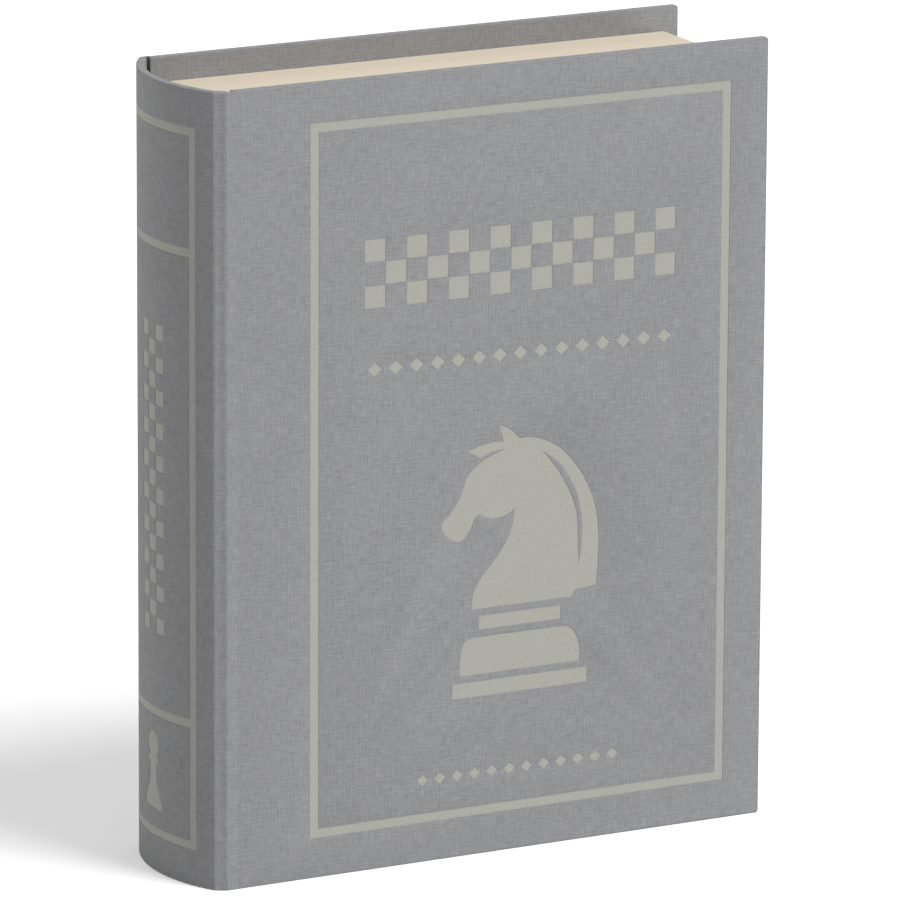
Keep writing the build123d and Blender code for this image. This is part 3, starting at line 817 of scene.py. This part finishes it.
# Men. Each is turned from one length of wood, boxwood for the light side and rosewood for
# the dark side, and lacquered. The knight's head is carved, the rook's parapet and the
# bishop's mitre are sawn in.
LATHE_STEPS = 40
PAWN_WAIST_SPAN = (5.5, 11.3)
OFFICER_WAIST_SPAN = (9.5, 15.3)
COUNTS = {"pawns": 8, "rooks": 2, "knights": 2, "bishops": 2, "queen": 1, "king": 1}
GRAIN_WIDTH = 1.1
GRAIN_LENGTH = 14 * GRAIN_WIDTH
LACQUER_ROUGHNESS = 0.32


def lacquered_wood(name, dark, pale):
    """Turned wood with its grain along the man's height, under a thin satin lacquer."""
    wood = new_material(name)
    place = add_node(wood, "TexCoord", {})
    along = (1 / (GRAIN_WIDTH * MM), 1 / (GRAIN_WIDTH * MM), 1 / (GRAIN_LENGTH * MM))
    grain = add_node(wood, "Mapping", {"Vector": (place, "Object"), "Scale": along})
    streaks = {"Vector": grain, "Scale": 0.5, "Detail": 4.0, "Distortion": 0.8}
    streaks = add_node(wood, "TexNoise", streaks)
    pores = add_node(wood, "TexNoise", {"Vector": grain, "Scale": 2.5, "Detail": 2.0})
    fine = {0: pores, 1: 0.5, 2: streaks}
    fine = add_node(wood, "Math", fine, operation="MULTIPLY_ADD")
    tone = add_node(wood, "MapRange", {"Value": fine, "From Min": 0.55, "From Max": 0.95})
    lacquer = {"Roughness": 0.5, "Coat Weight": 0.6, "Coat Roughness": LACQUER_ROUGHNESS}
    finish_in_two_tones(wood, tone, dark, pale, pores, lacquer, strength=0.1, depth=0.05)
    return wood


boxwood = lacquered_wood("lacquered_boxwood", "BE8F52", "DDB77C")
rosewood = lacquered_wood("lacquered_rosewood", "2A140D", "5A3222")


def turn(work, profile):
    """Turns a half outline of radius and height about the upright axis."""
    rings = []
    for radius, z in profile:
        angles = [2 * pi * i / LATHE_STEPS for i in range(LATHE_STEPS + 1)]
        rings.append([(radius * cos(a), radius * sin(a), z) for a in angles])
    add_strip(work, rings)
    bmesh.ops.remove_doubles(work, verts=work.verts, dist=1e-4)


def foot_profile(base, waist, low, high):
    """Plinth, bead and cove up to the waist, which the rack holds between two heights."""
    return [
        (0.0, 0.0, 1), (base - 0.5, 0.0, 1), (base, 0.5), (base, 2.2), (base - 0.5, 3.0, 1),
        (base - 1.0, 3.1, 1), (base - 0.9, 3.7), (base - 1.6, 4.3, 1), (0.62 * base + 0.4, 5.2),
        (waist + 0.15, low), (waist, (low + high) / 2), (waist - 0.05, high),
    ]  # fmt: skip


UPPER = {
    "pawns": [
        (0.39, 0.50), (0.36, 0.59, 1), (0.58, 0.60), (0.66, 0.635), (0.58, 0.665), (0.36, 0.68, 1),
        (0.33, 0.70, 1), (0.52, 0.755), (0.60, 0.84), (0.50, 0.94), (0.26, 0.99), (0.0, 1.0),
    ],
    "rooks": [
        (0.47, 0.56), (0.48, 0.68, 1), (0.60, 0.69), (0.62, 0.71, 1), (0.58, 0.73, 1), (0.78, 0.78),
        (0.80, 0.82, 1), (0.80, 0.885, 1), (0.52, 0.885, 1), (0.0, 0.885, 1),
    ],
    "knights": [(0.56, 0.395, 1), (0.74, 0.405), (0.78, 0.425), (0.74, 0.445, 1), (0.0, 0.447, 1)],
    "bishops": [
        (0.40, 0.50), (0.36, 0.59, 1), (0.58, 0.60), (0.65, 0.63), (0.58, 0.655), (0.38, 0.67, 1),
        (0.44, 0.68), (0.36, 0.70, 1), (0.50, 0.77), (0.46, 0.85), (0.28, 0.92), (0.13, 0.945, 1),
        (0.17, 0.965), (0.14, 0.99), (0.0, 1.0),
    ],
    "queen": [
        (0.40, 0.50), (0.36, 0.61, 1), (0.60, 0.62), (0.69, 0.65), (0.60, 0.675), (0.38, 0.69, 1),
        (0.48, 0.70), (0.40, 0.72, 1), (0.44, 0.80), (0.64, 0.90, 1), (0.56, 0.905, 1), (0.40, 0.935),
        (0.15, 0.95, 1), (0.20, 0.97), (0.15, 0.99), (0.0, 1.0),
    ],
    "king": [
        (0.40, 0.48), (0.36, 0.59, 1), (0.60, 0.60), (0.69, 0.63), (0.60, 0.655), (0.38, 0.67, 1),
        (0.48, 0.68), (0.40, 0.70, 1), (0.42, 0.76), (0.60, 0.84, 1), (0.60, 0.85, 1), (0.40, 0.875),
        (0.22, 0.885, 1), (0.17, 0.90, 1), (0.0, 0.90, 1),
    ],
}  # fmt: skip


def parapet(work, base, height):
    """Four merlons on the rim of a rook, between two sawn slots."""
    section = [(0.80, 0.88), (0.80, 0.992), (0.78, 1.0), (0.54, 1.0), (0.52, 0.992), (0.52, 0.88)]
    half_slot = 0.13
    gap = asin(half_slot / section[0][0])
    for corner in range(4):
        angles = [pi / 2 * corner + gap + (pi / 2 - 2 * gap) * k / 8 for k in range(9)]
        rows = []
        for radius, z in section:
            rows.append([(radius * base * cos(a), radius * base * sin(a), z * height) for a in angles])
        add_strip(work, rows + rows[:1])
    bmesh.ops.remove_doubles(work, verts=work.verts, dist=1e-4)
    bmesh.ops.holes_fill(work, edges=work.edges)


def add_upright(work, slab):
    """Turns a slab upright and adds it to a man."""
    slab.transform(Matrix.Rotation(pi / 2, 4, "X"))
    spare = bpy.data.meshes.new("slab")
    slab.to_mesh(spare)
    slab.free()
    work.from_mesh(spare)
    bpy.data.meshes.remove(spare)


def cross(work, base, height):
    """The cross of a king, with arms that widen outwards and a longer arm below."""
    reach = 0.26
    longer = 1.25
    middle = 0.925 * height
    thickness = 2.2
    arm = [(0.06, 0.06), (0.16, reach), (-0.16, reach), (-0.06, 0.06)]
    points = []
    for dx, dz in ((0, 1), (-1, 0), (0, -1), (1, 0)):
        for across, out in arm:
            if (dx, dz) == (0, -1):
                out = out * longer
            points.append((dx * out + dz * across, dz * out - dx * across))
    size = 0.075 * height / reach
    outline = [(u * size, v * size + middle) for u, v in points]
    add_upright(work, flat_sheet([outline], 0.3, thickness / 2, thickness))


def carved_head(work, base, height):
    """A horse's head that looks to the left, narrower at ears and muzzle, with a mane along
    the back of its neck, a cheek and an eye."""
    neck = 0.43 * height
    rise = height - neck
    muzzle_start = 0.3
    taper_up = 0.28
    taper_muzzle = 0.35

    def at(across, up, *corner):
        return (across * base, neck + up * rise, *corner)

    def disc(across, up, radius):
        centre = at(across, up)
        angles = [2 * pi * i / 16 for i in range(16)]
        return [(centre[0] + radius * cos(a), centre[1] + radius * sin(a)) for a in angles]

    head = soft_outline([at(*point) for point in (
        (0.56, 0.0, 1), (0.72, 0.22), (0.70, 0.48), (0.54, 0.70), (0.34, 0.84), (0.18, 0.90, 1),
        (0.12, 0.985), (0.04, 1.0), (-0.02, 0.88, 1), (-0.26, 0.80), (-0.50, 0.66), (-0.74, 0.52),
        (-0.86, 0.43), (-0.82, 0.34), (-0.68, 0.315), (-0.56, 0.35), (-0.36, 0.42), (-0.22, 0.38),
        (-0.22, 0.28), (-0.40, 0.14), (-0.52, 0.0, 1),
    )], 5)  # fmt: skip
    mane = soft_outline([at(*point) for point in (
        (0.16, 0.93, 1), (0.36, 0.91), (0.58, 0.77), (0.76, 0.55), (0.84, 0.28), (0.70, 0.03, 1),
        (0.52, 0.03, 1), (0.60, 0.28), (0.52, 0.54), (0.34, 0.74),
    )], 5)  # fmt: skip
    # outline, half thickness and rounding
    for outline, half, rounding in (
        (head, 3.9, 1.5), (mane, 2.2, 0.7),
        (disc(-0.2, 0.53, 1.9), 4.35, 0.8), (disc(-0.2, 0.73, 0.5), 4.3, 0.3),
    ):  # fmt: skip
        slab = flat_sheet([outline], rounding, half, 2 * half, cuts=(-muzzle_start * base,))
        for vertex in slab.verts:
            up = (vertex.co.y - neck) / rise
            muzzle = max(-vertex.co.x / base - muzzle_start, 0.0)
            vertex.co.z *= 1.0 - taper_up * up - taper_muzzle * muzzle
        add_upright(work, slab)


def sawn_mitre(work, base, height):
    """Saws the slanting slot into a bishop's mitre."""
    kerf = 1.2
    tilt = radians(-35)
    blade = bmesh.new()
    bmesh.ops.create_cube(blade, size=1.0)
    slant = Matrix.Rotation(tilt, 4, "Y") @ Matrix.Diagonal((0.9 * base, 2 * base, kerf, 1))
    blade.transform(Matrix.Translation((0.42 * base, 0, 0.87 * height)) @ slant)
    meshes = []
    holders = []
    for name, shape in (("mitre", work), ("saw", blade)):
        mesh = bpy.data.meshes.new(name)
        shape.to_mesh(mesh)
        meshes.append(mesh)
        holders.append(add_object(name, mesh))
    blade.free()
    cut = holders[0].modifiers.new("slot", "BOOLEAN")
    cut.object = holders[1]
    cut.solver = "EXACT"
    sawn = bpy.data.meshes.new_from_object(holders[0].evaluated_get(bpy.context.evaluated_depsgraph_get()))
    work.clear()
    work.from_mesh(sawn)
    for holder in holders:
        bpy.data.objects.remove(holder)
    for mesh in [*meshes, sawn]:
        bpy.data.meshes.remove(mesh)


TOPS = {"rooks": parapet, "king": cross, "knights": carved_head, "bishops": sawn_mitre}
for side, wood, slot in (("light", boxwood, "light_wood"), ("dark", rosewood, "dark_wood")):
    for kind, upper in UPPER.items():
        node = f"{side}_{kind}"
        low, high = box_of(node)
        base = (high.y - low.y) / 2
        height = high.z - low.z
        if kind == "pawns":
            foot = foot_profile(base, PAWN_WAIST, *PAWN_WAIST_SPAN)
        else:
            foot = foot_profile(base, OFFICER_WAIST, *OFFICER_WAIST_SPAN)
        points = foot + [(share * base, up * height, *corner) for share, up, *corner in upper]
        points[-1] = (*points[-1][:2], 1)
        man = bmesh.new()
        turn(man, soft_outline(points, 4))
        bmesh.ops.recalc_face_normals(man, faces=man.faces)
        if kind in TOPS:
            TOPS[kind](man, base, height)
        stock = bpy.data.meshes.new(node)
        man.to_mesh(stock)
        man.free()
        for i in range(COUNTS[kind]):
            x = low.x + base + (high.x - low.x - 2 * base) * i / max(COUNTS[kind] - 1, 1)
            man = bmesh.new()
            man.from_mesh(stock)
            bmesh.ops.translate(man, verts=man.verts, vec=(x, (low.y + high.y) / 2, low.z))
            make_piece(f"{node}_{i + 1}", man, "case", [wood], replaces=[node], sharp=35)
        bpy.data.meshes.remove(stock)


# Felts. A disc of green wool felt is glued under each man. Its short hairs give a dull,
# faintly mottled green.
FELT_TUFT = 2 / 3
green_felt = new_material("green_wool_felt")
place = add_node(green_felt, "TexCoord", {})
hairs = {"Vector": (place, "Object"), "Scale": 1 / (FELT_TUFT * MM), "Detail": 4.0, "Distortion": 1.0}
hairs = add_node(green_felt, "TexNoise", hairs)
wool = {"Roughness": 0.95, "Sheen Weight": 0.4, "Sheen Roughness": 0.5}
finish_in_two_tones(green_felt, hairs, "24402F", "3F6349", hairs, wool, strength=0.6, depth=0.2)
dress(green_felt, "light_men_felts", "dark_men_felts")


# Folding board. Two panels of stiff board with a printed playing face and a book cloth
# back. The squares are printed on a smooth paper, slate and cream, with a slate line round
# them.
face_low, face_high = box_of("base_panel_face")
leaf_high = box_of("leaf_panel_face")[1]
SQUARE = 29.9
PANEL_CORNER = 2.0
NOTCH_WIDTH = 30.0
NOTCH_DEPTH = 2.0
FOLD_EDGE = 0.1
BORDER_LINE = (2.2, 3.0)  # the line round the squares, from their edge
THUMB_STEPS = 8
BASE_COLUMN = 4  # the column beside the fold, which sets whether it starts in slate or cream
LEAF_COLUMN = 3
fold_x = face_low.x - FOLD_EDGE
squares_low = (face_low.z + face_high.z) / 2 - 4 * SQUARE
square_lines = [squares_low + i * SQUARE for i in range(9)]
slate_ink = fibre_paper("slate_printed_paper", "5D6063", "686B6E", 0.5, fibre=0.6)
cream_ink = fibre_paper("cream_printed_paper", "CFC7B4", "DAD3C2", 0.5, fibre=0.6)
panel_cloth = book_cloth("grey_panel_cloth", "6C6C6E", "8C8C8E", "Object")


def panel_outline(right, with_notch):
    """The outline of a panel, from the fold at the tail round to the fold at the head."""
    points = [(face_low.x, face_low.z)]
    for centre_z, start in ((face_low.z + PANEL_CORNER, -pi / 2), (face_high.z - PANEL_CORNER, 0.0)):
        if start == 0.0 and with_notch:
            radius = (NOTCH_WIDTH**2 / 4 + NOTCH_DEPTH**2) / (2 * NOTCH_DEPTH)
            reach = asin(NOTCH_WIDTH / 2 / radius)
            middle = (face_low.z + face_high.z) / 2
            for i in range(-THUMB_STEPS, THUMB_STEPS + 1):
                angle = reach * i / THUMB_STEPS
                u = right - NOTCH_DEPTH + radius * (1 - cos(angle))
                points.append((u, middle + radius * sin(angle)))
        for i in range(CORNER_STEPS + 1):
            angle = start + pi / 2 * i / CORNER_STEPS
            centre_x = right - PANEL_CORNER
            points.append((centre_x + PANEL_CORNER * cos(angle), centre_z + PANEL_CORNER * sin(angle)))
    points.append((face_low.x, face_high.z))
    return points


def square_ink(u, v, column_at_fold, step):
    """0 for slate and 1 for cream, by the square or the border that a point lies in."""
    k = floor((u - fold_x) / SQUARE)
    row = floor((v - squares_low) / SQUARE)
    if k < 4 and 0 <= row < 8:
        return (column_at_fold + step * k + row) % 2
    out = max(u - fold_x - 4 * SQUARE, squares_low - v, v - squares_low - 8 * SQUARE)
    return 0 if BORDER_LINE[0] < out < BORDER_LINE[1] else 1


def playing_face(right, with_notch, column_at_fold, step, thickness):
    """A panel's printed face, parted along the squares and the border, with its cut sides."""
    work = bmesh.new()
    work.faces.new([work.verts.new((u, v, 0)) for u, v in panel_outline(right, with_notch)])
    lines = [(fold_x + SQUARE * k, 0, 1, 0) for k in range(1, 5)]
    lines += [(0, z, 0, 1) for z in square_lines]
    for out in BORDER_LINE:
        lines += [(fold_x + 4 * SQUARE + out, 0, 1, 0)]
        lines += [(0, square_lines[0] - out, 0, 1), (0, square_lines[-1] + out, 0, 1)]
    for u, v, along_u, along_v in lines:
        part_faces(work, (u, v, 0), (along_u, along_v, 0))
    for face in work.faces:
        u, v, _ = face.calc_center_median()
        face.material_index = square_ink(u, v, column_at_fold, step)
    rim = [e for e in work.edges if e.is_boundary]
    sides = bmesh.ops.extrude_edge_only(work, edges=rim)["geom"]
    lower = [g for g in sides if isinstance(g, bmesh.types.BMVert)]
    bmesh.ops.translate(work, verts=lower, vec=(0, 0, -thickness))
    return work


def on_base(u, v, height):
    return (u, face_low.y - height, v)


def on_leaf(u, v, height):
    return (u, leaf_high.y + height, v)


inks = [slate_ink, cream_ink]
thickness = face_high.y - face_low.y
base = playing_face(face_high.x, False, BASE_COLUMN, 1, thickness)
make_piece("base_playing_face", base, "board_base", inks, on_base, ["base_panel_face"])
leaf = playing_face(leaf_high.x, True, LEAF_COLUMN, -1, thickness)
make_piece("leaf_playing_face", leaf, "board_leaf", inks, on_leaf, ["leaf_panel_face"])
dress(charcoal_paper, "base_panel_core", "leaf_panel_core")
dress(panel_cloth, "base_panel_back", "leaf_panel_back")


# Fold tape. A linen tape printed like the playing face is glued over the crease on that
# side.
tape_low, tape_high = box_of("base_fold_tape")
FOLD_INSIDE = 0.03
FOLD_OUTSIDE = 0.1
fold_y = (face_low.y + leaf_high.y) / 2
free = tape_low.y - fold_y
glued = face_low.y - fold_y
inside = fold_x + FOLD_INSIDE
outside = fold_x - FOLD_OUTSIDE
section = [
    (tape_high.x, free), (inside + 1.0, free), (inside, free), (inside, free / 3), (inside, -free / 3),
    (inside, -free), (inside + 1.0, -free), (tape_high.x, -free), (tape_high.x, -glued), (outside, -glued),
    (outside, -free), (outside, -free / 3), (outside, free / 3), (outside, free), (outside, glued),
    (tape_high.x, glued), (tape_high.x, free),
]  # fmt: skip
stations = [tape_low.z, *square_lines, tape_high.z]
for out in BORDER_LINE:
    stations += [square_lines[0] - out, square_lines[-1] + out]
stations.sort()
tape = bmesh.new()
add_strip(tape, [[(x, fold_y + y, z) for x, y in section] for z in stations])
close_up(tape, 1e-4)
for face in tape.faces:
    _, y, z = face.calc_center_median()
    face.material_index = square_ink(fold_x + 1.0, z, BASE_COLUMN if y > fold_y else LEAF_COLUMN, 1)
replaced = ["base_fold_tape", "leaf_fold_tape"]
tape = make_piece("fold_tape", tape, None, inks, None, replaced, sharp=40)
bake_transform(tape)  # fmt: skip


# Stage, in metres. A pale floor, and the daylight of a white studio: an even sky, a high key,
# a rim from behind and a softbox that stands lower than the head of the covers, so that the
# turn-ins behind them stay in shade.
FLOOR_SIZE = 40
FLOOR_LIFT = 0.3
SKY_STRENGTH = 0.34
SOFTBOX_WIDTH = 0.5
SOFTBOX_HEIGHT = 0.24
SOFTBOX_POWER = 9.7
SOFTBOX_PLACE = (0.84, -2.24, 0.13)
SOFTBOX_BACK = Vector((0.35, -0.93, 0))  # away from the book
bpy.ops.mesh.primitive_plane_add(size=FLOOR_SIZE)
ground = bpy.context.object
ground.name = "floor"
white_floor = new_material("white_studio_floor")
# the floor is pale, and only the camera, mirrors and glass see it lifted to white, with its shadows
rays = add_node(white_floor, "LightPath", {})
seen = {0: (rays, "Is Camera Ray"), 1: (rays, "Is Glossy Ray")}
seen = add_node(white_floor, "Math", seen, operation="MAXIMUM")
seen = add_node(white_floor, "Math", {0: seen, 1: (rays, "Is Transmission Ray")}, operation="MAXIMUM")
lift = add_node(white_floor, "Math", {0: seen, 1: FLOOR_LIFT}, operation="MULTIPLY")
whites = {"Factor": seen, 6: linear("D2D2D2"), 7: linear("FAFAFA")}
colour = add_node(white_floor, "Mix", whites, data_type="RGBA")
surface = {
    "Base Color": (colour, 2), "Roughness": 0.9, "Emission Color": linear("FFFFFF"),
    "Emission Strength": lift,
}  # fmt: skip
shader = add_node(white_floor, "BsdfPrincipled", surface)
add_node(white_floor, "OutputMaterial", {"Surface": shader})
ground.data.materials.append(white_floor)

world = bpy.data.worlds.new("studio")
bpy.context.scene.world = world
world.use_nodes = True
world.node_tree.nodes["Background"].inputs["Color"].default_value = linear("FFFFFF")
world.node_tree.nodes["Background"].inputs["Strength"].default_value = SKY_STRENGTH


def hang(lamp, back):
    """Puts a lamp in the scene, with its back towards a direction."""
    holder = add_object(lamp.name, lamp)
    holder.rotation_euler = back.to_track_quat("Z", "Y").to_euler()
    return holder


for name, strength, spread, back in (
    ("high_key", 2.1, 25, (0.3, -0.5, 0.8)),
    ("rim", 0.65, 40, (-0.45, 0.8, 0.35)),
):
    lamp = bpy.data.lights.new(name, "SUN")
    lamp.energy = strength
    lamp.angle = radians(spread)
    hang(lamp, Vector(back))

softbox = bpy.data.lights.new("low_front", "AREA")
softbox.shape = "RECTANGLE"
softbox.size = SOFTBOX_WIDTH
softbox.size_y = SOFTBOX_HEIGHT
softbox.energy = SOFTBOX_POWER
softbox_holder = hang(softbox, SOFTBOX_BACK)
softbox_holder.location = SOFTBOX_PLACE
softbox_holder.visible_camera = False

bpy.context.scene.view_settings.view_transform = "Standard"


# Camera. A long lens from the left of the front cover, a little above it. Its place, roll
# and focal length come from the outline of the book and of its stamped frame.
PICTURE_PIXELS = 900
AZIMUTH = radians(28.114)
ELEVATION = radians(14.011)
ROLL = radians(0.290)
DISTANCE = 3.080
FOCAL_PIXELS = 8846.5
AIM = Vector((3.08, -2.32, 137.61)) * MM
right = Vector((cos(AZIMUTH), -sin(AZIMUTH), 0))
forward = Vector((sin(AZIMUTH) * cos(ELEVATION), cos(AZIMUTH) * cos(ELEVATION), -sin(ELEVATION)))
up = right.cross(forward)
camera = bpy.data.cameras.new("camera")
camera.sensor_width = 36
camera.lens = FOCAL_PIXELS / PICTURE_PIXELS * camera.sensor_width
camera.clip_end = 100
camera_holder = add_object("camera", camera)
rolled_right = cos(ROLL) * right + sin(ROLL) * up
rolled_up = cos(ROLL) * up - sin(ROLL) * right
axes = Matrix((rolled_right, rolled_up, -forward)).transposed()
camera_holder.matrix_world = Matrix.Translation(AIM - DISTANCE * forward) @ axes.to_4x4()
bpy.context.scene.camera = camera_holder
